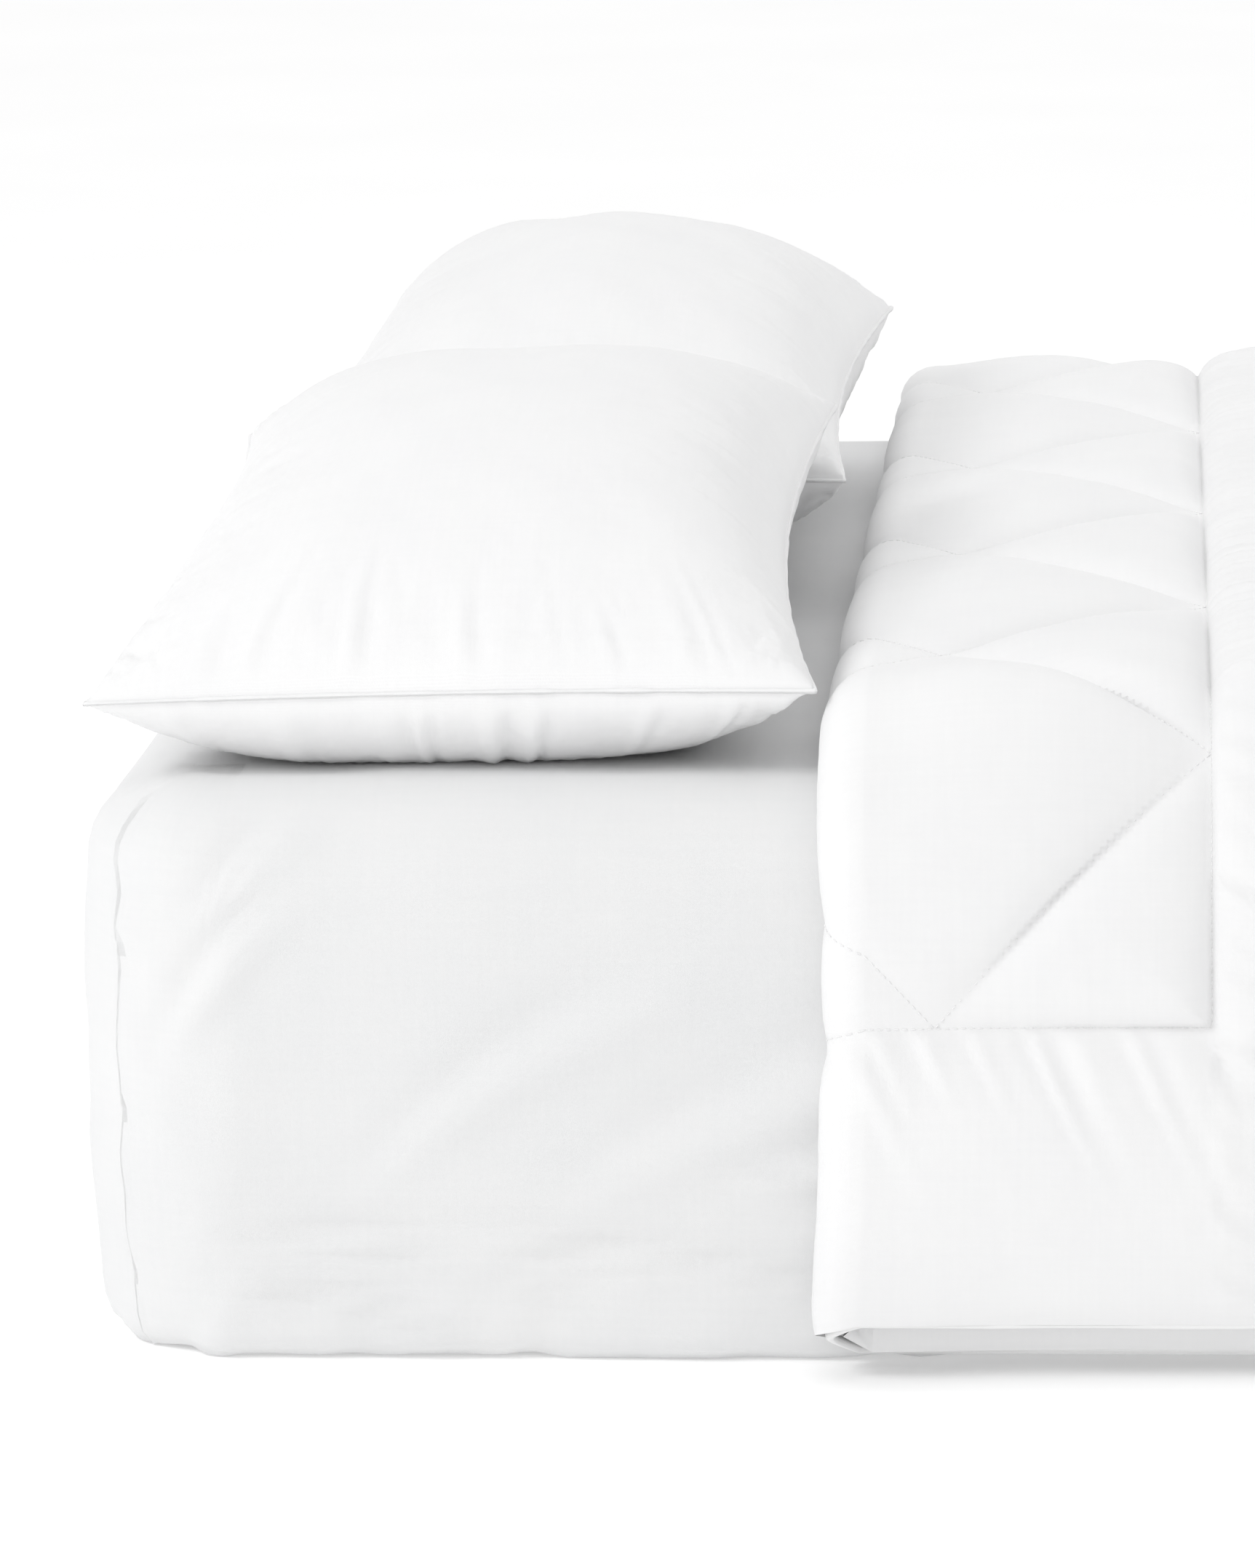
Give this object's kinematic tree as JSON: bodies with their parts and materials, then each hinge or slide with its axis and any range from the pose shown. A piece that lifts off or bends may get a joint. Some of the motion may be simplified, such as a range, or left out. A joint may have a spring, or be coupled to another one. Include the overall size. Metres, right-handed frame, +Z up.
{
  "type": "duvet on a bed",
  "caption": "Diamond-quilted duvet turned back over a deep sheeted mattress with pillows across its head.",
  "frame": {"origin": "middle of the mattress's underside, on the floor", "axes": "+X from the head to the foot of the bed, +Y across it to the far side, +Z up"},
  "size_m": [2.1056, 1.7088, 0.5785],
  "materials": {
    "sheet_cotton": "plain-woven cotton, matt",
    "duvet_cotton": "fine cotton, soft sheen, quilted",
    "duvet_piping": "cotton-covered cord",
    "pillow_cotton": "fine cotton, soft sheen",
    "pillow_ticking": "close-woven cotton",
    "filling": "polyester wadding",
    "mattress_ticking": "knitted ticking",
    "foam": "open-cell foam",
    "felt": "needled felt",
    "coil_pockets": "nonwoven pockets over steel coils",
    "tape": "woven binding tape",
    "elastic": "braided elastic"
  },
  "bodies": {
    "bed": {"base_foam": "foam", "coil_row_01": "coil_pockets", "coil_row_02": "coil_pockets", "coil_row_03": "coil_pockets", "coil_row_04": "coil_pockets", "coil_row_05": "coil_pockets", "coil_row_06": "coil_pockets", "coil_row_07": "coil_pockets", "coil_row_08": "coil_pockets", "coil_row_09": "coil_pockets", "coil_row_10": "coil_pockets", "coil_row_11": "coil_pockets", "coil_row_12": "coil_pockets", "coil_row_13": "coil_pockets", "coil_row_14": "coil_pockets", "coil_row_15": "coil_pockets", "coil_row_16": "coil_pockets", "coil_row_17": "coil_pockets", "coil_row_18": "coil_pockets", "comfort_foam": "foam", "edge_rail_far": "foam", "edge_rail_foot": "foam", "edge_rail_head": "foam", "edge_rail_near": "foam", "fitted_sheet": "sheet_cotton", "insulator_felt": "felt", "mattress_base_panel": "mattress_ticking", "mattress_border": "mattress_ticking", "mattress_lower_tape": "tape", "mattress_top_panel": "mattress_ticking", "mattress_upper_tape": "tape", "sheet_elastic": "elastic", "support_foam": "foam"},
    "duvet": {"duvet_back_cloth": "duvet_cotton", "duvet_face_cloth": "duvet_cotton", "duvet_filling": "filling", "duvet_piping": "duvet_piping"},
    "pillow_far": {"pillow_far_case_bottom": "pillow_cotton", "pillow_far_case_top": "pillow_cotton", "pillow_far_filling": "filling", "pillow_far_ticking_bottom": "pillow_ticking", "pillow_far_ticking_top": "pillow_ticking"},
    "pillow_near": {"pillow_near_case_bottom": "pillow_cotton", "pillow_near_case_top": "pillow_cotton", "pillow_near_filling": "filling", "pillow_near_ticking_bottom": "pillow_ticking", "pillow_near_ticking_top": "pillow_ticking"}
  },
  "joints": [
    {"name": "duvet_lift", "type": "slide", "parent": "bed", "child": "duvet", "axis": [0, 0, 1], "range_m": [0, 0.45]},
    {"name": "pillow_far_lift", "type": "slide", "parent": "bed", "child": "pillow_far", "axis": [0, 0, 1], "range_m": [0, 0.3]},
    {"name": "pillow_near_lift", "type": "slide", "parent": "pillow_far", "child": "pillow_near", "axis": [0, 0, 1], "range_m": [0, 0.3]}
  ]
}
